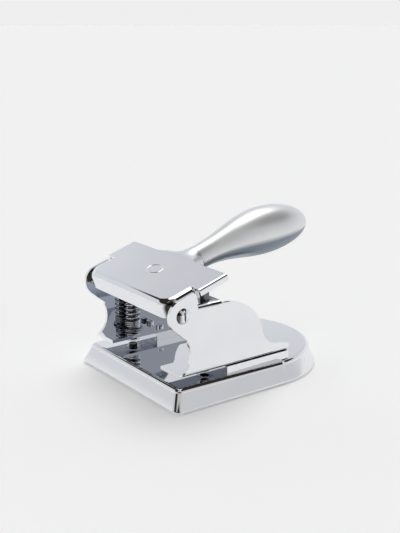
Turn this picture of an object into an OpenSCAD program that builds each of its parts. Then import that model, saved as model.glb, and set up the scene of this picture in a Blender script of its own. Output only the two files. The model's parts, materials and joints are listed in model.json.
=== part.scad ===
// Desk hole punch, two holes on an 80 mm pitch.
// Frame: +Z up, paper goes in from the -Y side, the lever's handle reaches towards +Y.
// Origin: on the surface it stands on, at mid width, under the line through both punches.

/* [Base] */
// Width of the base at its rim
base_w = 110; // [106:1:114]
// Length of the base from its flat front to its round back
base_l = 138; // [130:1:146]
// Height of the base's flat top
base_top = 14; // [14:0.5:15]
// How far the sides lean in between rim and top
base_lean = 5.5; // [5:0.5:6]
// Wall of the base
base_wall = 2.5; // [2:0.5:3]
// Thickness of the sole plate that stands out below the rim
sole_out = 0.8; // [0.6:0.1:1]
// Distance from the base's front to the line of the punches
punch_setback = 31; // [30:0.5:32]

/* [Punches] */
// Distance between the two punched holes
punch_pitch = 80; // [80]
// Diameter of a punch
punch_d = 5.5; // [5:0.5:6]
// Radial clearance of a punch in its guides and die
punch_fit = 0.05; // [0.03:0.01:0.08]
// Height of the punch tips with the lever up
tip_z = 17; // [16.5:0.5:17.5]
// Height of the rounded tops of the punches with the lever up
punch_top = 70.4; // [70.3:0.05:70.5]

/* [Frame] */
// Width over the two cheeks
frame_w = 96; // [95:0.5:97]
// Thickness of the frame's sheet steel
sheet = 2; // [1.8:0.1:2.2]
// Height of the underside of the cheeks' feet, above the paper slot
foot_z = 19; // [19:0.25:20]
// Width of each foot
foot_w = 20.5; // [19:0.5:21]
// Top of the bridge that joins the cheeks
bridge_top = 61; // [60.5:0.25:61]

/* [Lever] */
// Tilt of the cover with the lever up, in degrees
lever_tilt = 17.5; // [17:0.5:18]
// Distance from the pivot's axis to the cover's top face
cover_rise = 11; // [11:0.25:11.5]
// Thickness of the cover's sheet
cover_t = 1.6; // [1.4:0.1:1.6]
// Half width of the cover between the frame's bosses
cover_front_half = 45.3; // [45:0.1:45.4]
// Half width of the cover behind the bosses
cover_rear_half = 50.6; // [50.4:0.1:51]
// Length of the handle along its curved axis
handle_l = 91; // [86:1:96]
// Radius of the handle's thickest part
handle_r = 15.7; // [14:0.1:17]

/* [Hidden] */
$fn = 64;
eps = 0.01;
far = 400;

// base
front_y = -punch_setback;
back_y = front_y + base_l;
half_w = base_w / 2;
round_y = back_y - half_w;
rim_h = 1.7;
corner_r = 7;
edge_r = 2;
edge_steps = 6;
base_deck = 3;
tray_gap = 0.3;
tray_wall = 1.5;
tray_floor = 1.4;
tray_lip_h = 5.5;
sole_inset = 1;

// punches, dies and guides
punch_x = punch_pitch / 2;
punch_r = punch_d / 2;
bore_r = punch_r + punch_fit;
dome_r = 8;
tip_hollow_r = 5;
die_r = 5;
die_h = 6;
die_collar_r = 7;
die_collar_h = 1.5;
guide_collar_r = 6.5;
guide_collar_h = 1;
guide_hole_r = 4.4;
guide_sleeve_r = 3.9;
guide_sleeve_h = 6;
groove_r = 2.2;
clip_z = 57.2;
clip_t = 0.7;
clip_r = 4.6;
seat_t = 1;
seat_r = 5.6;

// return spring: three closed turns at the foot, one at the top
spring_wire_r = 0.65;
spring_r = 4.75;
spring_z = foot_z + sheet + guide_collar_h;
spring_top = clip_z - seat_t;
closed_low = 3;
closed_high = 1;
open_turns = 9;
turn_steps = 14;
wire_sides = 6;

// frame
cheek_x = frame_w / 2;
pivot_y = -20.8;
pivot_z = 56.7;
boss_r = 9.8;
foot_front = -23;
foot_back = 59.5;
bridge_front = -10.4;
bridge_back = 7;
bend_r = 3;
stop_front = 11;
boss_slope = 14;
crown_y = 10;
crown_z = 31;
crown_r = 28.5;
hollow_z = 39.8;
hollow_r = 14.6;
heel_z = 23.8;
throat_y = -31;
throat_z = 32;
throat_r = 15.5;

// fasteners
screw_rows = [15.5, 52];
screw_cols = [31, 42.5];
screw_r = 1.5;
screw_hole_r = 1.7;
screw_head_r = 2.4;
screw_head_h = 1.9;
screw_slot = 0.7;
screw_end_z = 7.5;
screw_boss_r = 3.6;

// pivot
shaft_r = 4;
pivot_screw_r = 2;
pivot_screw_l = 9;
pivot_head_r = 4.8;
pivot_head_h = 2;
pivot_slot = 1.2;
pivot_slot_deep = 1.1;

// lever, in its own frame: y along the cover, z square to it, origin on the pivot's axis
cover_front = -8;
shoulder_y = 13.4;
cover_back = 34;
neck_y = 47.3;
neck_r = 7.8;
neck_sweep = 14;
neck_flat = 4.5;
roll_r = 3.4;
skirt_h = 4;
front_drop = 10.6;
ear_r = 5.8;
ear_in = cover_front_half - cover_t;
plate_y = 21.8;
plate_t = 2;
plate_l = 12;
block_y = 31;
stud_r = 3;
stud_in = 12;
stud_out = 22;
handle_bend = 278;
handle_belly = 54.5;
handle_neck_l = 2;
handle_rings = 30;
handle_sides = 32;

// ---------------------------------------------------------------- base

// the side's outline from rim to deck, measured inwards from the rim: a straight leaning wall,
// rounded at the top
wall_run = base_lean - 0.7 * edge_r;
wall_tilt = atan(wall_run / (base_top - sole_out - rim_h));
edge_in = wall_run + edge_r * tan((90 - wall_tilt) / 2);
side_line = concat([[0, sole_out], [0, sole_out + rim_h]],
                   [for (i = [0 : edge_steps]) let (b = wall_tilt + (90 - wall_tilt) * i / edge_steps)
                       [edge_in - edge_r * cos(b), base_top - edge_r + edge_r * sin(b)]]);

// side profile as a closed shape that reaches from the rim inwards by d
module side_profile(d) {
    polygon(concat(side_line, [[d, base_top], [d, sole_out]]));
}

// the D-shaped slab with leaning sides
module base_outer() {
    translate([0, round_y, 0]) intersection() {
        rotate_extrude($fn = 128) polygon(concat([for (p = side_line) [half_w - p[0], p[1]]],
                                                 [[0, base_top], [0, sole_out]]));
        translate([-far / 2, -eps, 0]) cube([far, far, far / 4]);
    }
    for (s = [-1, 1])
        translate([s * (half_w - corner_r), front_y + corner_r, 0]) rotate_extrude()
            polygon(concat([for (p = side_line) [corner_r - p[0], p[1]]], [[0, base_top], [0, sole_out]]));
    for (s = [0, 1]) mirror([s, 0, 0])
        translate([half_w, round_y, 0]) rotate([90, 0, 0])
            linear_extrude(round_y - front_y - corner_r) mirror([1, 0]) side_profile(half_w);
    translate([-half_w + corner_r, front_y, 0]) rotate([90, 0, 90])
        linear_extrude(base_w - 2 * corner_r) side_profile(corner_r * 2);
}

// D-shaped plate, set in from the rim
module d_plate(inset, h) {
    w = half_w - inset;
    r = max(corner_r - inset, 1);
    linear_extrude(h) union() {
        translate([0, round_y]) circle(w, $fn = 128);
        translate([-w, front_y + inset + r]) square([2 * w, round_y - front_y - inset - r]);
        translate([-w + r, front_y + inset]) square([2 * (w - r), 2 * r]);
        for (s = [-1, 1]) translate([s * (w - r), front_y + inset + r]) circle(r);
    }
}

module at_punches(side) {
    translate([side * punch_x, 0, 0]) children();
}

module at_foot_screws() {
    for (s = [-1, 1], x = screw_cols, y = screw_rows) translate([s * x, y, 0]) children();
}

module base_shell() {
    color("gainsboro") difference() {
        union() {
            difference() {
                base_outer();
                translate([0, 0, -eps]) d_plate(base_lean + base_wall, base_top - base_deck + eps);
                translate([0, 0, -eps]) d_plate(base_wall, tray_lip_h + eps);
            }
            at_foot_screws() translate([0, 0, screw_end_z])
                cylinder(r = screw_boss_r, h = base_top - base_deck - screw_end_z + eps);
        }
        for (s = [-1, 1]) at_punches(s) translate([0, 0, -eps]) cylinder(r = die_r, h = far);
        at_foot_screws() translate([0, 0, -eps]) cylinder(r = screw_r, h = far);
    }
}

// black plastic tray that closes the base from below, stands on the table and keeps the chads
module bottom_tray() {
    color([0.07, 0.07, 0.08]) difference() {
        union() {
            d_plate(sole_inset, sole_out);
            d_plate(base_wall + tray_gap, tray_lip_h - tray_gap);
        }
        translate([0, 0, tray_floor]) d_plate(base_wall + tray_gap + tray_wall, base_top);
    }
}

// hardened ring under each punch, pushed up into the base from below
module die(side) {
    color("silver") at_punches(side) difference() {
        union() {
            translate([0, 0, base_top - die_h]) cylinder(r = die_r, h = die_h);
            translate([0, 0, base_top - base_deck - die_collar_h])
                cylinder(r = die_collar_r, h = die_collar_h);
        }
        translate([0, 0, -eps]) cylinder(r = bore_r, h = far);
    }
}

// block between base and foot that sets the slot's height and stops the paper
module paper_stop(side) {
    color("lightgray") difference() {
        translate([side > 0 ? cheek_x - foot_w : -cheek_x, stop_front, base_top])
            cube([foot_w, foot_back - stop_front, foot_z - base_top]);
        at_foot_screws() cylinder(r = screw_hole_r, h = far);
    }
}

// ---------------------------------------------------------------- frame

// side view of a cheek, drawn as [y, z]
module cheek_outline() {
    // the boss runs into the throat's hollow along a line that touches both circles
    tangent = atan2(throat_z - pivot_z, throat_y - pivot_y)
        - acos((boss_r + throat_r) / norm([throat_y - pivot_y, throat_z - pivot_z]));
    hollow_a = asin((hollow_z - crown_z) / (crown_r + hollow_r));
    hollow_y = crown_y + (crown_r + hollow_r) * cos(hollow_a);
    difference() {
        union() {
            translate([pivot_y, pivot_z]) circle(boss_r);
            polygon([[pivot_y, pivot_z],
                     [pivot_y - boss_r * sin(boss_slope), pivot_z + boss_r * cos(boss_slope)],
                     [pivot_y + 7.5, pivot_z + 12.6],
                     [bridge_front + 0.1, crown_z + crown_r - 0.2],
                     [bridge_front + 0.1, bridge_top - bend_r],
                     [crown_y, bridge_top - bend_r],
                     [crown_y, crown_z],
                     [throat_y + throat_r, throat_z + throat_r / 2],
                     [throat_y - throat_r * cos(tangent), throat_z - throat_r * sin(tangent)],
                     [pivot_y + boss_r * cos(tangent), pivot_z + boss_r * sin(tangent)]]);
            translate([crown_y, crown_z]) circle(crown_r, $fn = 128);
            translate([foot_front, foot_z])
                square([hollow_y - foot_front, hollow_z - foot_z - hollow_r + 0.6]);
            translate([throat_y + throat_r / 2, foot_z + 1])
                square([hollow_y - throat_y - throat_r / 2, hollow_z - foot_z - 1.5]);
            polygon([[crown_y, foot_z], [foot_back, foot_z], [foot_back, heel_z],
                     [hollow_y, hollow_z - hollow_r], [hollow_y, hollow_z], [crown_y, hollow_z]]);
        }
        translate([hollow_y, hollow_z]) circle(hollow_r, $fn = 96);
        translate([throat_y, throat_z]) circle(throat_r, $fn = 96);
        translate([-far, -far + foot_z]) square([2 * far, far]);
    }
}

// one cheek with its foot, on the +X side
module cheek() {
    difference() {
        union() {
            translate([cheek_x - sheet, 0, 0]) rotate([90, 0, 90]) linear_extrude(sheet) cheek_outline();
            translate([cheek_x - foot_w, foot_front, foot_z])
                cube([foot_w - sheet / 2, foot_back - foot_front, sheet]);
        }
        // outside of the bend between cheek and foot
        translate([cheek_x - bend_r, far / 2, foot_z + bend_r])
            rotate([90, 0, 0])
                linear_extrude(far) difference() {
                    translate([0, -bend_r - eps]) square(bend_r + eps);
                    circle(bend_r);
                }
    }
}

module frame() {
    color("whitesmoke") difference() {
        union() {
            for (s = [0, 1]) mirror([s, 0, 0]) cheek();
            // the bridge, bent down into both cheeks
            translate([0, bridge_back, 0]) rotate([90, 0, 0]) linear_extrude(bridge_back - bridge_front) {
                translate([-cheek_x + bend_r, bridge_top - sheet]) square([frame_w - 2 * bend_r, sheet]);
                for (s = [-1, 1]) translate([s * (cheek_x - bend_r), bridge_top - bend_r]) intersection() {
                    difference() {
                        circle(bend_r);
                        circle(bend_r - sheet);
                    }
                    translate([s > 0 ? 0 : -bend_r, 0]) square(bend_r);
                }
            }
        }
        for (s = [-1, 1]) at_punches(s) translate([0, 0, foot_z - eps]) cylinder(r = guide_hole_r, h = far);
        at_foot_screws() cylinder(r = screw_hole_r, h = pivot_z / 2);
        translate([-far / 2, pivot_y, pivot_z]) rotate([0, 90, 0]) cylinder(r = pivot_screw_r, h = far);
    }
}

// slotted cheese-head screws that hold both feet and paper stops down on the base
module foot_screws() {
    head_z = foot_z + sheet;
    color("silver") at_foot_screws() difference() {
        union() {
            translate([0, 0, screw_end_z]) cylinder(r = screw_r, h = head_z - screw_end_z + eps);
            translate([0, 0, head_z]) cylinder(r = screw_head_r, h = screw_head_h);
        }
        translate([-screw_head_r, -screw_slot / 2, head_z + screw_head_h / 2])
            cube([2 * screw_head_r, screw_slot, screw_head_h]);
    }
}

// ---------------------------------------------------------------- punches

// collared bush in a foot; the spring's closed turns sit round its sleeve
module lower_guide(side) {
    foot_top = foot_z + sheet;
    color("darkgray") at_punches(side) difference() {
        union() {
            translate([0, 0, foot_z]) cylinder(r = guide_hole_r, h = sheet + eps);
            translate([0, 0, foot_top]) cylinder(r = guide_collar_r, h = guide_collar_h);
            translate([0, 0, foot_top]) cylinder(r = guide_sleeve_r, h = guide_sleeve_h);
        }
        cylinder(r = bore_r, h = far);
    }
}

// collared bush in the bridge; its collar is the stop that the rising clip meets
module upper_guide(side) {
    color("darkgray") at_punches(side) difference() {
        union() {
            translate([0, 0, bridge_top - sheet - guide_collar_h])
                cylinder(r = guide_collar_r, h = guide_collar_h);
            translate([0, 0, bridge_top - sheet - eps]) cylinder(r = guide_hole_r, h = sheet + eps);
        }
        cylinder(r = bore_r, h = far);
    }
}

// round steel punch: hollow-ground tip, groove for the clip, crowned top
module punch(side) {
    dome_h = dome_r - sqrt(dome_r * dome_r - punch_r * punch_r);
    tip_rise = sqrt(tip_hollow_r * tip_hollow_r - punch_r * punch_r);
    color("silver") at_punches(side) difference() {
        union() {
            translate([0, 0, tip_z]) cylinder(r = punch_r, h = punch_top - dome_h - tip_z);
            intersection() {
                translate([0, 0, punch_top - dome_r]) sphere(dome_r);
                translate([0, 0, punch_top - 2 * dome_h]) cylinder(r = punch_r, h = 2 * dome_h);
            }
        }
        translate([0, 0, tip_z - tip_rise]) sphere(tip_hollow_r);
        translate([0, 0, clip_z]) difference() {
            cylinder(r = punch_r + 1, h = clip_t);
            translate([0, 0, -eps]) cylinder(r = groove_r, h = clip_t + 2 * eps);
        }
    }
}

// height of the wire's middle after t turns
spring_closed_pitch = 2 * spring_wire_r + 0.03;
spring_turns = closed_low + open_turns + closed_high;
spring_open_pitch = (spring_top - spring_z - 2 * spring_wire_r
                     - (closed_low + closed_high) * spring_closed_pitch) / open_turns;
function spring_rise(t) = min(t, closed_low) * spring_closed_pitch
    + max(min(t - closed_low, open_turns), 0) * spring_open_pitch
    + max(t - closed_low - open_turns, 0) * spring_closed_pitch;

// the wire's ring of points at step i
function wire_ring(i) = let (t = i / turn_steps, a = 360 * t)
    [for (k = [0 : wire_sides - 1]) let (b = 360 * k / wire_sides, r = spring_r + spring_wire_r * cos(b))
        [r * cos(a), r * sin(a), spring_z + spring_wire_r + spring_rise(t) + spring_wire_r * sin(b)]];

// faces of a tube of n + 1 rings with m sides, closed at both ends
function tube_faces(n, m) = concat(
    [[for (k = [0 : m - 1]) k]],
    [for (i = [0 : n - 1], k = [0 : m - 1])
        [i * m + k, (i + 1) * m + k, (i + 1) * m + (k + 1) % m, i * m + (k + 1) % m]],
    [[for (k = [m - 1 : -1 : 0]) n * m + k]]);

module return_spring(side) {
    n = spring_turns * turn_steps;
    color("gray") at_punches(side)
        polyhedron(points = [for (i = [0 : n], p = wire_ring(i)) p], faces = tube_faces(n, wire_sides));
}

// washer that the spring pushes up against the clip
module spring_seat(side) {
    color("silver") at_punches(side) translate([0, 0, clip_z - seat_t]) difference() {
        cylinder(r = seat_r, h = seat_t);
        translate([0, 0, -eps]) cylinder(r = punch_r, h = far);
    }
}

// spring-steel clip, open on one side, in the punch's groove
module retaining_clip(side) {
    color("dimgray") at_punches(side) translate([0, 0, clip_z]) difference() {
        cylinder(r = clip_r, h = clip_t);
        translate([0, 0, -eps]) cylinder(r = groove_r, h = far);
        translate([-groove_r * 0.8, -far, -eps]) cube([groove_r * 1.6, far, far]);
    }
}

// ---------------------------------------------------------------- pivot

module pivot_shaft() {
    half = cheek_x - sheet;
    color("darkgray") translate([-half, pivot_y, pivot_z]) rotate([0, 90, 0]) difference() {
        cylinder(r = shaft_r, h = 2 * half);
        translate([0, 0, -eps]) cylinder(r = pivot_screw_r, h = pivot_screw_l + eps);
        translate([0, 0, 2 * half - pivot_screw_l]) cylinder(r = pivot_screw_r, h = pivot_screw_l + eps);
    }
}

// domed slotted screw through a cheek into the end of the shaft
module pivot_screw(side) {
    cap_r = (pivot_head_r * pivot_head_r + pivot_head_h * pivot_head_h) / (2 * pivot_head_h);
    color("white") translate([side * cheek_x, pivot_y, pivot_z]) rotate([0, side * 90, 0]) difference() {
        union() {
            translate([0, 0, -sheet - pivot_screw_l + 1])
                cylinder(r = pivot_screw_r, h = sheet + pivot_screw_l - 1 + eps);
            intersection() {
                cylinder(r = pivot_head_r, h = pivot_head_h);
                translate([0, 0, pivot_head_h - cap_r]) sphere(cap_r);
            }
        }
        translate([-far / 2, -pivot_slot / 2, pivot_head_h - pivot_slot_deep]) cube([far, pivot_slot, far]);
    }
}

// ---------------------------------------------------------------- lever

module in_lever() {
    translate([0, pivot_y, pivot_z]) rotate([lever_tilt, 0, 0]) children();
}

// plan of the cover: narrow front, wide rear, and a neck that sweeps in to the handle
module cover_plan() {
    translate([-cover_front_half + roll_r, cover_front + roll_r])
        square([2 * (cover_front_half - roll_r), shoulder_y - cover_front]);
    translate([-cover_rear_half + roll_r / 2, shoulder_y])
        square([2 * cover_rear_half - roll_r, cover_back - shoulder_y]);
    difference() {
        translate([-neck_flat - neck_sweep, cover_back - eps])
            square([2 * (neck_flat + neck_sweep), neck_sweep]);
        for (s = [-1, 1]) translate([s * (neck_flat + neck_sweep), cover_back + neck_sweep])
            circle(neck_sweep);
        translate([-far / 2, neck_y]) square(far);
    }
}

// quarter bend of the sheet, outer radius r, its flat side up and its edge outwards
module roll_section(r) {
    intersection() {
        difference() {
            circle(r);
            circle(max(r - cover_t, eps));
        }
        square(r);
    }
}

module lever_cover() {
    side_r = roll_r / 2;
    front_l = shoulder_y - cover_front - roll_r;
    color("gainsboro") in_lever() difference() {
        union() {
            translate([0, 0, cover_rise - cover_t]) linear_extrude(cover_t) cover_plan();
            // front flange, bent down
            translate([-cover_front_half + roll_r, cover_front + roll_r, cover_rise - roll_r])
                rotate([90, 0, 90])
                    linear_extrude(2 * (cover_front_half - roll_r)) mirror([1, 0]) roll_section(roll_r);
            translate([-cover_front_half + roll_r, cover_front, cover_rise - front_drop])
                cube([2 * (cover_front_half - roll_r), cover_t, front_drop - roll_r]);
            for (s = [0, 1]) mirror([s, 0, 0]) {
                // rolled edge beside the boss and the ear that hangs from it onto the pivot shaft
                translate([cover_front_half - roll_r, shoulder_y, cover_rise - roll_r]) rotate([90, 0, 0])
                    linear_extrude(front_l) roll_section(roll_r);
                translate([ear_in, 0, 0]) rotate([90, 0, 90]) linear_extrude(cover_t) {
                    circle(ear_r);
                    translate([-ear_r, 0]) square([2 * ear_r, cover_rise - roll_r]);
                }
                // front corner, rounded both ways
                translate([cover_front_half - roll_r, cover_front + roll_r, cover_rise - roll_r])
                    intersection() {
                        difference() {
                            sphere(roll_r);
                            sphere(roll_r - cover_t);
                        }
                        translate([0, -roll_r, 0]) cube(roll_r);
                    }
                translate([cover_front_half - roll_r, cover_front + roll_r, cover_rise - front_drop])
                    intersection() {
                        difference() {
                            cylinder(r = roll_r, h = front_drop - roll_r);
                            translate([0, 0, -eps]) cylinder(r = roll_r - cover_t, h = front_drop);
                        }
                        translate([0, -roll_r, 0]) cube([roll_r, roll_r, front_drop]);
                    }
                // shallow skirt outside the cheek
                translate([cover_rear_half - side_r, cover_back, cover_rise - side_r]) rotate([90, 0, 0])
                    linear_extrude(cover_back - shoulder_y) roll_section(side_r);
                translate([cover_rear_half - cover_t, shoulder_y, cover_rise - skirt_h])
                    cube([cover_t, cover_back - shoulder_y, skirt_h - side_r]);
            }
            // round neck
            translate([0, block_y, cover_rise - neck_r]) rotate([-90, 0, 0])
                linear_extrude(neck_y - block_y) difference() {
                    circle(neck_r);
                    circle(neck_r - cover_t);
                }
        }
        translate([-far / 2, 0, 0]) rotate([0, 90, 0]) cylinder(r = shaft_r + punch_fit, h = far);
    }
}

// hardened strip welded under the cover, which bears on both punches
module press_plate() {
    color("darkgray") in_lever()
        translate([-punch_x - plate_l / 3, plate_y - plate_l / 2, cover_rise - cover_t - plate_t])
            cube([punch_pitch + 2 * plate_l / 3, plate_l, plate_t]);
}

// steel block soldered inside the neck, tapped for the stud
module neck_block() {
    r = neck_r - cover_t;
    color("darkgray") in_lever() difference() {
        translate([0, block_y, cover_rise - neck_r]) rotate([-90, 0, 0])
            cylinder(r = r, h = neck_y - block_y);
        translate([0, neck_y - stud_in, cover_rise - neck_r]) rotate([-90, 0, 0])
            cylinder(r = stud_r, h = far);
    }
}

module handle_stud() {
    color("gray") in_lever() translate([0, neck_y - stud_in, cover_rise - neck_r]) rotate([-90, 0, 0])
        cylinder(r = stud_r, h = stud_in + stud_out);
}

// radius of the handle at a distance s along its axis
function handle_radius(s) = s < handle_belly
    ? neck_r + (handle_r - neck_r)
        * (1 - cos(180 * max(s - handle_neck_l, 0) / (handle_belly - handle_neck_l))) / 2
    : handle_r * sqrt(max(1 - pow((s - handle_belly) / (handle_l - handle_belly), 2), 0.0004));

// rings close up towards the round end
function ring_at(i) = handle_l * sin(90 * i / handle_rings);

// one ring of the handle, square to its curved axis
function handle_ring(i) = let (s = ring_at(i), a = s / handle_bend * 180 / PI, r = handle_radius(s),
        y = neck_y + handle_bend * sin(a), z = cover_rise - neck_r - handle_bend * (1 - cos(a)))
    [for (k = [0 : handle_sides - 1]) let (b = 360 * k / handle_sides)
        [r * cos(b), y + r * sin(b) * sin(a), z + r * sin(b) * cos(a)]];

module handle_grip() {
    color("lightgray") in_lever() difference() {
        polyhedron(points = [for (i = [0 : handle_rings], p = handle_ring(i)) p],
                   faces = tube_faces(handle_rings, handle_sides));
        translate([0, neck_y - eps, cover_rise - neck_r]) rotate([-90, 0, 0])
            cylinder(r = stud_r, h = stud_out + eps);
    }
}

base_shell();
bottom_tray();
die(-1);  // die_left
die(1);  // die_right
paper_stop(-1);  // paper_stop_left
paper_stop(1);  // paper_stop_right
frame();
foot_screws();
lower_guide(-1);  // lower_guide_left
lower_guide(1);  // lower_guide_right
upper_guide(-1);  // upper_guide_left
upper_guide(1);  // upper_guide_right
punch(-1);  // punch_left
punch(1);  // punch_right
return_spring(-1);  // return_spring_left
return_spring(1);  // return_spring_right
spring_seat(-1);  // spring_seat_left
spring_seat(1);  // spring_seat_right
retaining_clip(-1);  // retaining_clip_left
retaining_clip(1);  // retaining_clip_right
pivot_shaft();
pivot_screw(-1);  // pivot_screw_left
pivot_screw(1);  // pivot_screw_right
lever_cover();
press_plate();
neck_block();
handle_stud();
handle_grip();
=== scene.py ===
import json
from math import cos, pi, radians, sin, sqrt

import bmesh
import bpy
from mathutils import Matrix, Vector


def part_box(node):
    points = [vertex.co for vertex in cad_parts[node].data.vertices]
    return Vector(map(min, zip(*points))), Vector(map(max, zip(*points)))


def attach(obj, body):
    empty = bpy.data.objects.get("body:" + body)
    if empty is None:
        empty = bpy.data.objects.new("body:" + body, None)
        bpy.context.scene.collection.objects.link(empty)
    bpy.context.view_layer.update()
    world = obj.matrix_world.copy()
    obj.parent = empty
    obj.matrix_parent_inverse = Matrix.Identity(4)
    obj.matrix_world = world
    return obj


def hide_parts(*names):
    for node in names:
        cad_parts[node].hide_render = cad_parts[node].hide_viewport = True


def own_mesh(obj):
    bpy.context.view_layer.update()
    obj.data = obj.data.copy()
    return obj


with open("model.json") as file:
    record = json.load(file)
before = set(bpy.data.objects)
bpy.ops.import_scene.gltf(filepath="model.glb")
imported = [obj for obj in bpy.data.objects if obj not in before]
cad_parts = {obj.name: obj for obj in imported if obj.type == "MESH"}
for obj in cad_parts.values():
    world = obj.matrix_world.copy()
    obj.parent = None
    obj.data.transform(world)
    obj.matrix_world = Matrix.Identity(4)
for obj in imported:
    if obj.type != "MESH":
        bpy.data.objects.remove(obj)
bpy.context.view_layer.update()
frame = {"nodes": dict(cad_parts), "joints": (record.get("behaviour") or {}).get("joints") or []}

MM = 0.001

# ------------------------------------------------------------------------------------------------
# Base shell. Drawn from steel sheet into a D with sides that lean in, trimmed at the rim,
# polished and chromium plated. The two die holes are pierced through its flat deck.

base_low, base_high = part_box("base_shell")
base_half = (base_high.x - base_low.x) / 2
round_centre = base_high.y - base_half
rim_height = 1.7 * MM
wall_run = 4.1 * MM
deck_edge = 2.8 * MM
base_corner = 4.5 * MM
base_sheet = 1.6 * MM
same_height = 1e-6


def keep(bm, name):
    """Turns a finished bmesh into a smooth-shaded object that sits at the origin."""
    mesh = bpy.data.meshes.new(name)
    bm.to_mesh(mesh)
    bm.free()
    for polygon in mesh.polygons:
        polygon.use_smooth = True
    piece = bpy.data.objects.new(name, mesh)
    bpy.context.scene.collection.objects.link(piece)
    return piece


def verts_in(geom):
    return [g for g in geom if isinstance(g, bmesh.types.BMVert)]


def edges_in(geom):
    return [g for g in geom if isinstance(g, bmesh.types.BMEdge)]


def even_shading(piece):
    """Flat faces stay flat and only the narrow bends between them are shaded round."""
    shading = piece.modifiers.new("even shading", "WEIGHTED_NORMAL")
    shading.mode = "FACE_AREA"
    shading.weight = 60
    shading.keep_sharp = True
    return piece


def fixed(piece, body, nodes, material):
    """The piece stands for its CAD nodes, rides on their body and takes its finish."""
    piece.data.materials.clear()
    piece.data.materials.append(material)
    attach(piece, body)
    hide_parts(*nodes)
    return piece


def surface(name, colour, metal, roughness, coat=0.0):
    """A Principled surface on Object coordinates, with its node tree ready for a pattern."""
    material = bpy.data.materials.new(name)
    material.use_nodes = True
    shader = material.node_tree.nodes["Principled BSDF"]
    shader.inputs["Base Color"].default_value = (*colour, 1)
    shader.inputs["Metallic"].default_value = metal
    shader.inputs["Roughness"].default_value = roughness
    shader.inputs["Coat Weight"].default_value = coat
    place = material.node_tree.nodes.new("ShaderNodeTexCoord")
    return material, shader, place


def noise(material, place, size, detail=4.0, stretch=(1, 1, 1)):
    """Noise whose grains are size metres across, drawn out along an axis where stretch is small."""
    nodes, links = material.node_tree.nodes, material.node_tree.links
    mapping = nodes.new("ShaderNodeMapping")
    mapping.inputs["Scale"].default_value = stretch
    links.new(place.outputs["Object"], mapping.inputs["Vector"])
    pattern = nodes.new("ShaderNodeTexNoise")
    pattern.inputs["Scale"].default_value = 1 / size
    pattern.inputs["Detail"].default_value = detail
    links.new(mapping.outputs["Vector"], pattern.inputs["Vector"])
    return pattern.outputs["Fac"]


def spread(material, value, low, high, start=0.3, end=0.7):
    """Maps a pattern's middle range onto low to high."""
    node = material.node_tree.nodes.new("ShaderNodeMapRange")
    node.inputs["From Min"].default_value = start
    node.inputs["From Max"].default_value = end
    node.inputs["To Min"].default_value = low
    node.inputs["To Max"].default_value = high
    material.node_tree.links.new(value, node.inputs["Value"])
    return node.outputs["Result"]


def tint(material, value, low, high):
    """Colour that runs from low to high with a pattern."""
    node = material.node_tree.nodes.new("ShaderNodeMix")
    node.data_type = "RGBA"
    node.inputs["A"].default_value = (*low, 1)
    node.inputs["B"].default_value = (*high, 1)
    material.node_tree.links.new(value, node.inputs["Factor"])
    return node.outputs["Result"]


def relief(material, shader, value, height, strength=1.0):
    """Bump of a given height in metres, laid over any bump the shader already has."""
    nodes, links = material.node_tree.nodes, material.node_tree.links
    bump = nodes.new("ShaderNodeBump")
    bump.inputs["Distance"].default_value = height
    bump.inputs["Strength"].default_value = strength
    links.new(value, bump.inputs["Height"])
    if shader.inputs["Normal"].is_linked:
        links.new(shader.inputs["Normal"].links[0].from_socket, bump.inputs["Normal"])
    links.new(bump.outputs["Normal"], shader.inputs["Normal"])


def polished_chrome(name, roughness, wave=0.4):
    """Mirror chrome: faint polishing waves, hairline wipe marks and a breath of handling haze."""
    material, shader, place = surface(name, (0.86, 0.87, 0.89), 1.0, roughness)
    links = material.node_tree.links
    haze = noise(material, place, 0.022, 3.0)
    wipe = noise(material, place, 0.0011, 2.0, (1, 0.06, 1))
    rough = material.node_tree.nodes.new("ShaderNodeMath")
    rough.operation = "ADD"
    links.new(spread(material, haze, roughness * 0.6, roughness * 1.3), rough.inputs[0])
    links.new(spread(material, wipe, 0.0, 0.015, 0.55, 0.8), rough.inputs[1])
    links.new(rough.outputs["Value"], shader.inputs["Roughness"])
    cool, warm = (0.835, 0.85, 0.885), (0.87, 0.875, 0.885)
    links.new(tint(material, spread(material, haze, 0, 1), cool, warm), shader.inputs["Base Color"])
    relief(material, shader, noise(material, place, 0.013, 1.0), wave * 0.00002)
    return material


chrome = polished_chrome("polished chrome", 0.035)

bm = bmesh.new()
bmesh.ops.create_circle(
    bm, cap_ends=True, radius=base_half, segments=192,
    matrix=Matrix.Translation((0, round_centre, 0)),
)
half_disc = bmesh.ops.bisect_plane(
    bm,
    geom=bm.verts[:] + bm.edges[:] + bm.faces[:],
    plane_co=(0, round_centre, 0),
    plane_no=(0, -1, 0),
    clear_outer=True,
)
front = bmesh.ops.extrude_edge_only(bm, edges=edges_in(half_disc["geom_cut"]))["geom"]
bmesh.ops.translate(bm, verts=verts_in(front), vec=(0, base_low.y - round_centre, 0))
bmesh.ops.dissolve_faces(bm, faces=bm.faces[:])
bmesh.ops.translate(bm, verts=bm.verts[:], vec=(0, 0, base_low.z))
top = bm.faces[:]
for rise in (rim_height, base_high.z - base_low.z - rim_height):
    raised = bmesh.ops.extrude_face_region(bm, geom=top)["geom"]
    left_inside = [f for f in top if f.is_valid and rise > rim_height]
    bmesh.ops.delete(bm, geom=left_inside, context="FACES_ONLY")
    top = [g for g in raised if isinstance(g, bmesh.types.BMFace)]
    bmesh.ops.translate(bm, verts=verts_in(raised), vec=(0, 0, rise))
bmesh.ops.recalc_face_normals(bm, faces=bm.faces[:])
corners = [
    e for e in bm.edges
    if abs(e.verts[0].co.z - e.verts[1].co.z) > same_height
    and all(v.co.y < base_low.y + same_height for v in e.verts)
]
bmesh.ops.bevel(
    bm, geom=corners, offset=base_corner, segments=12, profile=0.5, affect="EDGES", material=-1
)
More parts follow.
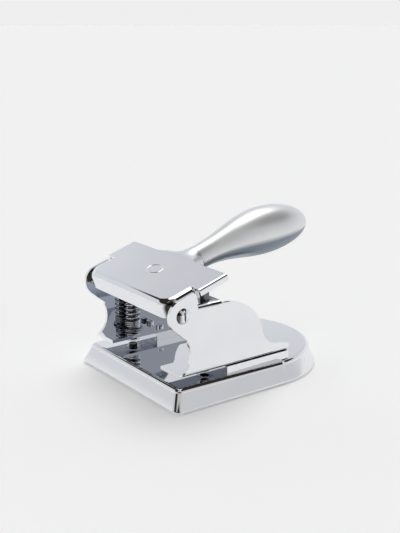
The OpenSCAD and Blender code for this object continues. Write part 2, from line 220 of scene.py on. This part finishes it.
# the wall leans in from the rim to the deck by the same run all round
deck_verts = [v for v in bm.verts if v.co.z > base_high.z - same_height]
front_length = round_centre - base_low.y
for v in deck_verts:
    reach = front_length if v.co.y < round_centre else base_half
    v.co.x *= (base_half - wall_run) / base_half
    v.co.y = round_centre + (v.co.y - round_centre) * (reach - wall_run) / reach
deck_rim = [e for e in bm.edges if all(v.co.z > base_high.z - same_height for v in e.verts)]
bmesh.ops.bevel(
    bm, geom=deck_rim, offset=deck_edge, segments=10, profile=0.5, affect="EDGES", material=-1
)
underside = [f for f in bm.faces if all(v.co.z < base_low.z + same_height for v in f.verts)]
bmesh.ops.delete(bm, geom=underside, context="FACES")
base_shell = keep(bm, "drawn_base_shell")

wall = base_shell.modifiers.new("sheet", "SOLIDIFY")
wall.thickness = base_sheet
wall.offset = -1

die_low, die_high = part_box("die_right")
die_collar = 2 * MM
die_radius = (die_high.x - die_low.x) / 2 - die_collar
bm = bmesh.new()
for side in (-1, 1):
    die_x = side * (die_low.x + die_high.x) / 2
    bmesh.ops.create_cone(
        bm, cap_ends=True, segments=64, radius1=die_radius, radius2=die_radius, depth=20 * MM,
        matrix=Matrix.Translation((die_x, 0, base_high.z)),
    )
drill = keep(bm, "drill")
piercing = base_shell.modifiers.new("die holes", "BOOLEAN")
piercing.object = drill
piercing.operation = "DIFFERENCE"
piercing.solver = "EXACT"
bpy.context.view_layer.update()
pierced = bpy.data.meshes.new_from_object(
    base_shell.evaluated_get(bpy.context.evaluated_depsgraph_get())
)
base_shell.modifiers.clear()
# the rim is trimmed level, and the deck is ground flat
for v in pierced.vertices:
    v.co.z = min(max(v.co.z, base_low.z), base_high.z)
base_shell.data = pierced
bpy.data.objects.remove(drill)
fixed(even_shading(base_shell), "base", ["base_shell"], chrome)

# ------------------------------------------------------------------------------------------------
# Bottom tray. Black moulded plastic, snapped into the base from below. It closes the base,
# keeps the chads and is what the punch stands on; its edge shows as a thin dark line.

moulded, shader, place = surface("black moulded plastic", (0.022, 0.022, 0.025), 0.0, 0.55)
links = moulded.node_tree.links
grain = noise(moulded, place, 0.0006, 3.0)
links.new(spread(moulded, grain, 0.46, 0.62), shader.inputs["Roughness"])
flow = noise(moulded, place, 0.03, 2.0)
blacks = (0.018, 0.018, 0.021), (0.032, 0.032, 0.035)
links.new(tint(moulded, flow, *blacks), shader.inputs["Base Color"])
relief(moulded, shader, grain, 0.00006)


def machined(node, edge=0.0002, segments=2):
    """A copy of a CAD node with its triangles merged and every sharp edge broken by edge metres."""
    bm = bmesh.new()
    bm.from_mesh(frame["nodes"][node].data)
    bmesh.ops.remove_doubles(bm, verts=bm.verts[:], dist=2e-6)
    bmesh.ops.dissolve_limit(
        bm, angle_limit=radians(0.4), use_dissolve_boundaries=False,
        verts=bm.verts[:], edges=bm.edges[:],
    )
    sharp = [e for e in bm.edges if e.is_manifold and e.calc_face_angle() > radians(34)]
    bmesh.ops.bevel(
        bm, geom=sharp, offset=edge, offset_type="OFFSET", segments=segments, profile=0.5,
        affect="EDGES", clamp_overlap=True, material=-1,
    )
    low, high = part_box(node)
    for v in bm.verts:
        v.co = [min(max(value, least), most) for value, least, most in zip(v.co, low, high)]
    return even_shading(keep(bm, f"finished_{node}"))


fixed(machined("bottom_tray", 0.0003), "base", ["bottom_tray"], moulded)

# ------------------------------------------------------------------------------------------------
# Dies. Hardened rings pressed up into the deck from below, ground flush with it; the punch
# shears the paper against their sharp inner edge.


def turned_steel(name, colour, roughness, axis="Z", ring=0.00035):
    """Lathe-cut steel: fine rings round the turning axis and a slightly uneven sheen."""
    material, shader, place = surface(name, colour, 1.0, roughness)
    nodes, links = material.node_tree.nodes, material.node_tree.links
    stretch = {"X": (1, 0.02, 0.02), "Y": (0.02, 1, 0.02), "Z": (0.02, 0.02, 1)}[axis]
    rings = noise(material, place, ring, 3.0, stretch)
    links.new(spread(material, rings, roughness * 0.7, roughness * 1.5), shader.inputs["Roughness"])
    dark = tuple(c * 0.82 for c in colour)
    sheen = tint(material, spread(material, rings, 0, 1), dark, colour)
    links.new(sheen, shader.inputs["Base Color"])
    relief(material, shader, rings, 0.000015)
    return material


ground_steel = turned_steel("ground tool steel", (0.60, 0.61, 0.63), 0.16)
for side in ("left", "right"):
    fixed(machined(f"die_{side}", 0.00012), "base", [f"die_{side}"], ground_steel)

# ------------------------------------------------------------------------------------------------
# Paper stops. Bright steel blocks between deck and feet: they hold the slot open at its height
# and their front face is where the sheet stops.

for side in ("left", "right"):
    node = f"paper_stop_{side}"
    fixed(machined(node, 0.0003), "base", [node], chrome)

# ------------------------------------------------------------------------------------------------
# Frame. One blank of 2 mm steel, bent into two cheeks joined by a bridge, with a foot turned in
# at the bottom of each cheek. Its edges are linished round before polishing and plating.


def combined(material, operation, *values):
    """One pattern worked out from others."""
    node = material.node_tree.nodes.new("ShaderNodeMath")
    node.operation = operation
    for value, socket in zip(values, node.inputs):
        material.node_tree.links.new(value, socket)
    return node.outputs["Value"]


def component(material, vector, axis, unsigned=False):
    """A vector's share along an axis, with or without its sign."""
    axes = material.node_tree.nodes.new("ShaderNodeSeparateXYZ")
    material.node_tree.links.new(vector, axes.inputs["Vector"])
    share = axes.outputs[axis]
    return combined(material, "ABSOLUTE", share) if unsigned else share


def normal_part(material, axis, unsigned=False):
    """How far the surface faces along an axis, with or without the sign."""
    geometry = material.node_tree.nodes.new("ShaderNodeNewGeometry")
    return component(material, geometry.outputs["Normal"], axis, unsigned)


def darkened(material, mask, colour):
    """Lays a colour over the surface's own where the mask is 1."""
    shader = material.node_tree.nodes["Principled BSDF"]
    node = material.node_tree.nodes.new("ShaderNodeMix")
    node.data_type = "RGBA"
    links = material.node_tree.links
    links.new(mask, node.inputs["Factor"])
    links.new(shader.inputs["Base Color"].links[0].from_socket, node.inputs["A"])
    node.inputs["B"].default_value = (*colour, 1)
    links.new(node.outputs["Result"], shader.inputs["Base Color"])


frame_chrome = polished_chrome("frame chrome", 0.035)
painted_inner_shade = (0.40, 0.43, 0.48)
painted_underside_shade = (0.13, 0.15, 0.19)
painted_dark_reflection = (0.10, 0.09, 0.09)
place = frame_chrome.node_tree.nodes.new("ShaderNodeTexCoord").outputs["Object"]
# painted shade: the cheeks' inner faces are greyed where they face each other below the top,
# but the bosses at the top stay bright on both sides
inside = spread(frame_chrome, component(frame_chrome, place, "X", True), 1, 0, 46.3 * MM, 46.9 * MM)
upright = spread(frame_chrome, normal_part(frame_chrome, "X", True), 1, 0, 0.9, 0.6)
low_down = spread(frame_chrome, component(frame_chrome, place, "Z"), 1, 0, 46 * MM, 52 * MM)
inner_face = combined(frame_chrome, "MINIMUM", inside, upright)
darkened(frame_chrome, combined(frame_chrome, "MINIMUM", inner_face, low_down), painted_inner_shade)
# painted shade on the frame's downward faces, the feet's undersides over the paper slot
downward = spread(frame_chrome, normal_part(frame_chrome, "Z"), 1, 0, -0.95, -0.8)
darkened(frame_chrome, downward, painted_underside_shade)
# painted dark reflection on the rounded edges that face the front
slanted = normal_part(frame_chrome, "X", True)
edge = combined(
    frame_chrome, "MULTIPLY",
    spread(frame_chrome, slanted, 0, 1, 0.12, 0.35),
    spread(frame_chrome, slanted, 0, 1, 0.97, 0.85),
)
forward = spread(frame_chrome, normal_part(frame_chrome, "Y"), 0, 1, -0.08, -0.3)
darkened(frame_chrome, combined(frame_chrome, "MULTIPLY", edge, forward), painted_dark_reflection)
fixed(machined("frame", 0.0008, 4), "base", ["frame"], frame_chrome)

# ------------------------------------------------------------------------------------------------
# Foot screws. Slotted cheese heads, nickel-chromed, that pull feet and stops down on the deck.

bright_screws = polished_chrome("plated screws", 0.09, 0.2)
fixed(machined("foot_screws", 0.0003, 3), "base", ["foot_screws"], bright_screws)

# ------------------------------------------------------------------------------------------------
# Guides. Turned bushes in the feet and in the bridge that keep each punch upright.

bush_steel = turned_steel("turned bushes", (0.40, 0.41, 0.43), 0.22)
for level in ("lower", "upper"):
    for side in ("left", "right"):
        node = f"{level}_guide_{side}"
        fixed(machined(node, 0.0002), "base", [node], bush_steel)

# ------------------------------------------------------------------------------------------------
# Punches. Centreless-ground silver steel, hollow-ground at the tip, with a crowned top.

punch_steel = turned_steel("hardened punch steel", (0.17, 0.175, 0.19), 0.24)
for side in ("left", "right"):
    node = f"punch_{side}"
    fixed(machined(node, 0.00015), node, [node], punch_steel)

# ------------------------------------------------------------------------------------------------
# Return springs. Hard-drawn wire wound with three closed turns at the foot, nine open ones and
# one closed at the top. They stand on the lower guide and push the seat washer up.

spring_wire, shader, place = surface("drawn spring wire", (0.70, 0.71, 0.73), 1.0, 0.22)
links = spring_wire.node_tree.links
streaks = noise(spring_wire, place, 0.0008, 2.0, (1, 1, 0.3))
links.new(spread(spring_wire, streaks, 0.16, 0.24), shader.inputs["Roughness"])
drawn_greys = (0.62, 0.63, 0.65), (0.74, 0.75, 0.77)
links.new(tint(spring_wire, streaks, *drawn_greys), shader.inputs["Base Color"])
relief(spring_wire, shader, streaks, 0.000001)

wire_radius = 0.65 * MM
closed_gap = 0.03 * MM
guide_height = 3 * MM
foot_turns, open_turns, head_turns = 3, 9, 1
turn_steps = 30
for side in ("left", "right"):
    low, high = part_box(f"return_spring_{side}")
    centre = sum(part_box(f"punch_{side}"), Vector()) / 2
    coil_radius = (high.y - low.y) / 2 - wire_radius
    spring_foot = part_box(f"lower_guide_{side}")[0].z + guide_height
    spring_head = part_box(f"spring_seat_{side}")[0].z
    closed_pitch = 2 * wire_radius + closed_gap
    closed_length = (foot_turns + head_turns) * closed_pitch + 2 * wire_radius
    open_pitch = (spring_head - spring_foot - closed_length) / open_turns
    bm = bmesh.new()
    start = Matrix.Translation((centre.x + coil_radius, 0, spring_foot + wire_radius))
    bmesh.ops.create_circle(
        bm, cap_ends=False, radius=wire_radius, segments=10,
        matrix=start @ Matrix.Rotation(pi / 2, 4, "X"),
    )
    tip = bm.verts[:] + bm.edges[:]
    winding = (foot_turns, closed_pitch), (open_turns, open_pitch), (head_turns, closed_pitch)
    for turns, pitch in winding:
        tip = bmesh.ops.spin(
            bm, geom=tip, cent=(centre.x, 0, 0), axis=(0, 0, 1), dvec=(0, 0, pitch / turn_steps),
            angle=2 * pi * turns, steps=turns * turn_steps, use_merge=False, use_duplicate=False,
        )["geom_last"]
    bmesh.ops.holes_fill(bm, edges=[e for e in bm.edges if e.is_boundary], sides=12)
    bmesh.ops.recalc_face_normals(bm, faces=bm.faces[:])
    node = f"return_spring_{side}"
    spring = fixed(keep(bm, f"wound_spring_{side}"), "base", [node], spring_wire)
    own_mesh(spring)

# ------------------------------------------------------------------------------------------------
# Spring seats and retaining clips. A pressed washer on top of each spring, held by an open
# spring-steel clip in the punch's groove.

clip_steel = turned_steel("blued clip steel", (0.30, 0.31, 0.34), 0.25)
for side in ("left", "right"):
    punch, seat, clip = f"punch_{side}", f"spring_seat_{side}", f"retaining_clip_{side}"
    fixed(machined(seat, 0.0002), punch, [seat], bright_screws)
    fixed(machined(clip, 0.0001), punch, [clip], clip_steel)

# ------------------------------------------------------------------------------------------------
# Pivot. A turned shaft between the cheeks, held by a domed slotted screw through each of them.

shaft_steel = turned_steel("turned shaft", (0.60, 0.61, 0.63), 0.18, "X")
fixed(machined("pivot_shaft", 0.0003), "base", ["pivot_shaft"], shaft_steel)
pivot_chrome = polished_chrome("pivot screw chrome", 0.07, 0.2)
# painted dark reflection on the front of each screw's dome
front_of_dome = spread(pivot_chrome, normal_part(pivot_chrome, "Y"), 0, 1, -0.22, -0.5)
darkened(pivot_chrome, front_of_dome, painted_dark_reflection)
for side in ("left", "right"):
    node = f"pivot_screw_{side}"
    fixed(machined(node, 0.0004, 3), "base", [node], pivot_chrome)

# ------------------------------------------------------------------------------------------------
# Lever cover. One pressing of 1.6 mm steel: a flat top rolled down at the front and along both
# sides, ears for the pivot, and a tail that is raised into the round neck of the handle.

hinge = next(j for j in frame["joints"] if j["name"] == "lever_hinge")
pivot = Vector(hinge["pos_m"])
# the lever's own frame: Y along the cover, Z square to it, origin on the pivot's axis
lever = Matrix.Translation(pivot) @ Matrix.Rotation(radians(hinge["range_deg"][1]), 4, "X")
cover_top = 11 * MM
cover_sheet = 1.6 * MM
cover_front = -8 * MM
cover_back = 34 * MM
shoulder = 13.4 * MM
front_half = 45.3 * MM
rear_half = 50.6 * MM
front_roll = 4.6 * MM
corner_swing = 4.6 * MM
side_roll = 1.7 * MM
flange_drop = 10.6 * MM
skirt_drop = 4 * MM
neck_y = 47.3 * MM
neck_radius = 7.8 * MM
neck_sweep = 14 * MM
ear_radius = 5.8 * MM


def smooth_step(t):
    t = min(max(t, 0), 1)
    return t * t * (3 - 2 * t)


# tail: a flat grid drawn in to the neck's width and arched down at its edges
tail_rows, tail_columns = 28, 36
bm = bmesh.new()
bmesh.ops.create_grid(bm, x_segments=tail_columns, y_segments=tail_rows, size=0.5)
tail_length = neck_y - cover_back
for v in bm.verts:
    across, along = 2 * v.co.x, v.co.y + 0.5
    y = cover_back + along * tail_length
    sweep_centre = cover_back + neck_sweep
    half = neck_radius + neck_sweep - sqrt(max(neck_sweep**2 - (y - sweep_centre) ** 2, 0))
    # the section is an arc that closes from flat to a half circle on its way to the neck
    closing = max(smooth_step((along - 0.1) / 0.9), 0.001)
    arch = half / closing * (1 - sqrt(max(1 - (across * closing) ** 2, 0)))
    v.co = (across * half, y, cover_top - arch)
seam = sorted((v for v in bm.verts if abs(v.co.y - cover_back) < 1e-7), key=lambda v: v.co.x)
# flat top: its back edge shares the tail's first row
inner_front = front_half - front_roll
inner_rear = rear_half - side_roll
swing_x, swing_y = inner_front - corner_swing, cover_front + front_roll + corner_swing
swing_steps = 12
quarter = [pi / 2 * i / swing_steps for i in range(swing_steps + 1)]
right = [(inner_rear, cover_back), (inner_rear, shoulder), (inner_front, shoulder)]
right += [(swing_x + corner_swing * cos(a), swing_y - corner_swing * sin(a)) for a in quarter]
outline = right + [(-x, y) for x, y in reversed(right)]
corner = [bm.verts.new((x, y, cover_top)) for x, y in outline]
bm.faces.new(seam + corner)
bm.normal_update()


def edge_between(a, b):
    return next(e for e in a.link_edges if e.other_vert(a) is b)


def pull(bm, edges, vec):
    """Draws a row of edges out into a flat strip and returns the new row."""
    drawn = bmesh.ops.extrude_edge_only(bm, edges=edges)["geom"]
    bmesh.ops.translate(bm, verts=verts_in(drawn), vec=vec)
    return [e for e in edges_in(drawn) if all(v in drawn for v in e.verts)]


def roll(bm, edges, cent, axis, turn, steps=8):
    """Bends a strip down from a row of edges round an axis and returns the new row."""
    geom = edges + list({v for e in edges for v in e.verts})
    last = bmesh.ops.spin(
        bm, geom=geom, cent=cent, axis=axis, angle=turn, steps=steps,
        use_merge=False, use_duplicate=False,
    )["geom_last"]
    return edges_in(last)


bend_z = cover_top - front_roll
front_edge = edge_between(corner[len(right) - 1], corner[len(right)])
front_row = roll(bm, [front_edge], (0, cover_front + front_roll, bend_z), (1, 0, 0), pi / 2)
pull(bm, front_row, (0, 0, -(flange_drop - front_roll)))
for sign, ordered in ((1, corner), (-1, corner[::-1])):
    back_v, shoulder_v, inner, front_v = ordered[:4]
    quarter_turn = sign * pi / 2
    side_edge, rear_edge = edge_between(inner, front_v), edge_between(shoulder_v, back_v)
    side_row = roll(bm, [side_edge], (sign * inner_front, 0, bend_z), (0, 1, 0), quarter_turn)
    # the corner: the front's end, bend and flange, swung round an upright axis
    end_verts = {
        v for v in bm.verts
        if abs(v.co.x - sign * swing_x) < 1e-6 and v.co.y < cover_front + front_roll + 1e-6
    }
    end = [e for e in bm.edges if all(v in end_verts for v in e.verts)]
    roll(bm, end, (sign * swing_x, swing_y, 0), (0, 0, 1), quarter_turn, swing_steps)
    # ear: the side runs on down past the pivot
    pull(bm, side_row, (0, 0, -(cover_top - front_roll)))
    skirt_bend = (sign * inner_rear, 0, cover_top - side_roll)
    skirt = roll(bm, [rear_edge], skirt_bend, (0, 1, 0), quarter_turn, 6)
    pull(bm, skirt, (0, 0, -(skirt_drop - side_roll)))
bmesh.ops.remove_doubles(bm, verts=bm.verts[:], dist=2e-6)
bmesh.ops.recalc_face_normals(bm, faces=bm.faces[:])
if sum(f.normal.z * f.calc_area() for f in bm.faces) < 0:
    bmesh.ops.reverse_faces(bm, faces=bm.faces[:])
bmesh.ops.transform(bm, matrix=lever, verts=bm.verts[:])
lever_cover = keep(bm, "pressed_lever_cover")
wall = lever_cover.modifiers.new("sheet", "SOLIDIFY")
wall.thickness = cover_sheet
wall.offset = -1
wall.use_even_offset = True
softened = lever_cover.modifiers.new("linished edges", "BEVEL")
softened.width = 0.25 * MM
softened.segments = 2
softened.limit_method = "ANGLE"
softened.angle_limit = radians(50)

# the tail is dressed by hand where it meets the handle, so its mirror fades into satin there
cover_chrome = polished_chrome("cover chrome", 0.035)
nodes, links = cover_chrome.node_tree.nodes, cover_chrome.node_tree.links
shader, place = nodes["Principled BSDF"], nodes.new("ShaderNodeTexCoord").outputs["Object"]
dressed = spread(cover_chrome, component(cover_chrome, place, "Y"), 0, 1, 6 * MM, 15 * MM)
for name, kind, satin_value in (
    ("Roughness", "FLOAT", 0.42), ("Base Color", "RGBA", (0.74, 0.755, 0.775, 1)),
):
    blend = nodes.new("ShaderNodeMix")
    blend.data_type = kind
    links.new(dressed, blend.inputs["Factor"])
    links.new(shader.inputs[name].links[0].from_socket, blend.inputs["A"])
    blend.inputs["B"].default_value = satin_value
    links.new(blend.outputs["Result"], shader.inputs[name])
# painted dark reflection on the two front corners, where the rolls face forward and sideways
forward = spread(cover_chrome, normal_part(cover_chrome, "Y"), 0, 1, -0.25, -0.45)
sideways = spread(cover_chrome, normal_part(cover_chrome, "X", True), 0, 1, 0.40, 0.60)
front_corner = combined(cover_chrome, "MULTIPLY", forward, sideways)
darkened(cover_chrome, front_corner, (0.045, 0.04, 0.035))
fixed(even_shading(lever_cover), "lever", ["lever_cover"], cover_chrome)

# the round neck under the tail, brazed in and dressed flush
neck_start = 31 * MM
tube_gap = 0.03 * MM
tube_radius = neck_radius - tube_gap
tube_centre = (0, (neck_y + neck_start) / 2, cover_top - neck_radius - tube_gap)
bm = bmesh.new()
bmesh.ops.create_cone(
    bm, cap_ends=True, segments=64, radius1=tube_radius, radius2=tube_radius,
    depth=neck_y - neck_start, matrix=Matrix.Rotation(-pi / 2, 4, "X"),
)
bmesh.ops.translate(bm, verts=bm.verts[:], vec=tube_centre)
ends = [e for e in bm.edges if abs(e.verts[0].co.y - e.verts[1].co.y) < 1e-7]
bmesh.ops.bevel(
    bm, geom=ends, offset=0.4 * MM, segments=3, profile=0.5, affect="EDGES", material=-1
)
bmesh.ops.transform(bm, matrix=lever, verts=bm.verts[:])
neck_tube = even_shading(keep(bm, "brazed_neck"))
neck_tube.data.materials.append(cover_chrome)
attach(neck_tube, "lever")

# a plain oval bead pressed up in the middle of the top
bead_radius = 0.4 * MM
bead_ring = 5 * MM
bead_oval = (1.25, 0.9, 0.8)
bead_centre = (0, 16.8 * MM, cover_top - 0.1 * MM)
bm = bmesh.new()
bmesh.ops.create_circle(
    bm, cap_ends=False, radius=bead_radius, segments=12,
    matrix=Matrix.Translation((bead_ring, 0, 0)) @ Matrix.Rotation(pi / 2, 4, "X"),
)
bmesh.ops.spin(
    bm, geom=bm.verts[:] + bm.edges[:], cent=(0, 0, 0), axis=(0, 0, 1),
    angle=2 * pi, steps=72, use_merge=True,
)
bmesh.ops.recalc_face_normals(bm, faces=bm.faces[:])
bmesh.ops.scale(bm, vec=bead_oval, verts=bm.verts[:])
bmesh.ops.translate(bm, verts=bm.verts[:], vec=bead_centre)
bmesh.ops.transform(bm, matrix=lever, verts=bm.verts[:])
bead = keep(bm, "pressed_oval_bead")
bead.data.materials.append(chrome)
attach(bead, "lever")

# ------------------------------------------------------------------------------------------------
# Press plate, neck block and handle stud. Plain turned and milled steel under the cover: the
# plate bears on both punches, the block closes the neck and takes the handle's stud.

milled = turned_steel("milled steel", (0.52, 0.53, 0.55), 0.26, "X", 0.0005)
for node, edge in (("press_plate", 0.0003), ("neck_block", 0.0002), ("handle_stud", 0.0002)):
    fixed(machined(node, edge), "lever", [node], milled)

# ------------------------------------------------------------------------------------------------
# Handle. A solid light-alloy casting shaped like a drop, turned and satin polished along its
# length, screwed onto the stud so that its neck runs on from the cover's.

satin, shader, place = surface("satin handle", (0.80, 0.81, 0.82), 0.5, 0.34)
links = satin.node_tree.links
brushing = noise(satin, place, 0.0005, 3.0, (1, 0.04, 1))
cloud = noise(satin, place, 0.02, 2.0)
links.new(spread(satin, brushing, 0.32, 0.37), shader.inputs["Roughness"])
cloudy = tint(satin, spread(satin, cloud, 0, 1), (0.84, 0.85, 0.86), (0.89, 0.895, 0.90))
links.new(cloudy, shader.inputs["Base Color"])
# painted dark reflection: the underside is laid over with a darker, bluish grey
underneath = spread(satin, normal_part(satin, "Z"), 1, 0, -0.30, -0.08)
darkened(satin, underneath, (0.22, 0.26, 0.31))
relief(satin, shader, brushing, 0.000001)

handle_length = 91 * MM
handle_belly = 54.5 * MM
handle_radius = 15.7 * MM
handle_bend = 278 * MM
plain_neck = 2 * MM
lap, lap_rise = 0.5 * MM, 0.02 * MM


def handle_outline(s):
    """Radius at a distance s along the handle's axis."""
    if s < handle_belly:
        t = max(s - plain_neck, 0) / (handle_belly - plain_neck)
        return neck_radius + (handle_radius - neck_radius) * (1 - cos(pi * t)) / 2
    t = (s - handle_belly) / (handle_length - handle_belly)
    return handle_radius * sqrt(max(1 - t**2, 0))


stations = 64
bm = bmesh.new()
# the handle laps over the tail's broken edge, so that no groove is left between them
lapped = ((-lap, 0), (-lap, neck_radius), (0, neck_radius + lap_rise))
profile = [bm.verts.new((0, y, z)) for y, z in lapped]
for i in range(1, stations + 1):
    s = handle_length * sin(pi / 2 * i / stations)
    profile.append(bm.verts.new((0, s, handle_outline(s) if i < stations else 0)))
for a, b in zip(profile, profile[1:]):
    bm.edges.new((a, b))
bmesh.ops.spin(
    bm, geom=bm.verts[:] + bm.edges[:], cent=(0, 0, 0), axis=(0, 1, 0),
    angle=2 * pi, steps=72, use_merge=True,
)
bmesh.ops.remove_doubles(bm, verts=bm.verts[:], dist=1e-6)
bend_low = cover_top - neck_radius - handle_bend
for v in bm.verts:
    angle, reach = v.co.y / handle_bend, handle_bend + v.co.z
    v.co = (v.co.x, neck_y + reach * sin(angle), bend_low + reach * cos(angle))
bmesh.ops.recalc_face_normals(bm, faces=bm.faces[:])
bmesh.ops.transform(bm, matrix=lever, verts=bm.verts[:])
fixed(keep(bm, "polished_handle_grip"), "lever", ["handle_grip"], satin)

# ------------------------------------------------------------------------------------------------
# Floor: a wide pale sheet.

paper, shader, place = surface("pale floor", (0.9, 0.9, 0.9), 0.0, 0.8)
shader.inputs["Specular IOR Level"].default_value = 0.0
shader.inputs["Emission Color"].default_value = (1, 1, 1, 1)
shader.inputs["Emission Strength"].default_value = 0.28
tooth = noise(paper, place, 0.002, 2.0)
relief(paper, shader, tooth, 0.00001)
bm = bmesh.new()
bmesh.ops.create_grid(bm, x_segments=1, y_segments=1, size=60)
floor = keep(bm, "floor")
floor.data.materials.append(paper)

# ------------------------------------------------------------------------------------------------
# Studio: white walls, a dark ceiling round a soft overhead light, and the dark of the room on
# the camera's side. All of it is in the world, so that polished metal has something to mirror.

aim = Vector((0, 19 * MM, 20 * MM))
view_from, view_up, distance = radians(54.35), radians(19.79), 0.58195

world = bpy.data.worlds.new("studio")
bpy.context.scene.world = world
world.use_nodes = True
nodes, links = world.node_tree.nodes, world.node_tree.links
light = nodes["Background"]
direction = nodes.new("ShaderNodeTexCoord")
split = nodes.new("ShaderNodeSeparateXYZ")
links.new(direction.outputs["Generated"], split.inputs["Vector"])


def ramped(value, start, end, smooth=True):
    """0 to 1 as a value runs from start to end."""
    node = nodes.new("ShaderNodeMapRange")
    node.interpolation_type = "SMOOTHSTEP" if smooth else "LINEAR"
    node.inputs["From Min"].default_value = start
    node.inputs["From Max"].default_value = end
    links.new(value, node.inputs["Value"])
    return node.outputs["Result"]


def turned_to(x, y, z=0.0):
    """How far a direction turns towards (x, y, z)."""
    node = nodes.new("ShaderNodeVectorMath")
    node.operation = "DOT_PRODUCT"
    node.inputs[1].default_value = (x, y, z)
    links.new(direction.outputs["Generated"], node.inputs[0])
    return node.outputs["Value"]


def painted(under, factor, colour):
    """The studio's light so far, with a colour laid over it where factor is 1."""
    node = nodes.new("ShaderNodeMix")
    node.data_type = "RGBA"
    links.new(factor, node.inputs["Factor"])
    if isinstance(under, tuple):
        node.inputs["A"].default_value = (*under, 1)
    else:
        links.new(under, node.inputs["A"])
    node.inputs["B"].default_value = (*colour, 1)
    return node.outputs["Result"]


camera_side = (sin(view_from), -cos(view_from))
room_dark = (0.03, 0.024, 0.02)
backdrop = ramped(turned_to(-camera_side[0], -camera_side[1]), -0.05, 0.75)
studio = painted((0.63, 0.63, 0.65), backdrop, (0.82, 0.845, 0.885))
studio = painted(studio, ramped(split.outputs["Z"], 0.38, 0.62), (0.645, 0.655, 0.685))
studio = painted(studio, ramped(turned_to(0, -0.25, 1), 0.585, 0.615), room_dark)
studio = painted(studio, ramped(turned_to(-0.50, 0.52, 0.69), 0.86, 0.94), (0.64, 0.65, 0.68))
studio = painted(studio, ramped(turned_to(0.60, -0.35, 0.72), 0.80, 0.92), (0.56, 0.56, 0.54))
studio = painted(studio, ramped(turned_to(-0.22, 0.25, 0.943), 0.90, 0.935), (2.9, 2.9, 2.9))
studio = painted(studio, ramped(turned_to(0.40, 0.50, 0.77), 0.875, 0.91), room_dark)
studio = painted(studio, ramped(turned_to(*camera_side), 0.80, 0.86), room_dark)
studio = painted(studio, ramped(split.outputs["Z"], 0.09, 0.03), (0.86, 0.86, 0.865))
links.new(studio, light.inputs["Color"])

bpy.context.scene.view_settings.view_transform = "Standard"

# ------------------------------------------------------------------------------------------------
# Camera.

camera_data = bpy.data.cameras.new("camera")
camera_data.sensor_fit = "VERTICAL"
camera_data.sensor_height = 36
camera_data.lens = 61.06
camera_data.clip_end = 200
camera = bpy.data.objects.new("camera", camera_data)
bpy.context.scene.collection.objects.link(camera)
camera.location = aim + distance * Vector(
    (sin(view_from) * cos(view_up), -cos(view_from) * cos(view_up), sin(view_up))
)
yaw, pitch = radians(53.76), radians(15.11)
look = Vector((-sin(yaw) * cos(pitch), cos(yaw) * cos(pitch), -sin(pitch)))
camera.rotation_euler = look.to_track_quat("-Z", "Y").to_euler()
bpy.context.scene.camera = camera
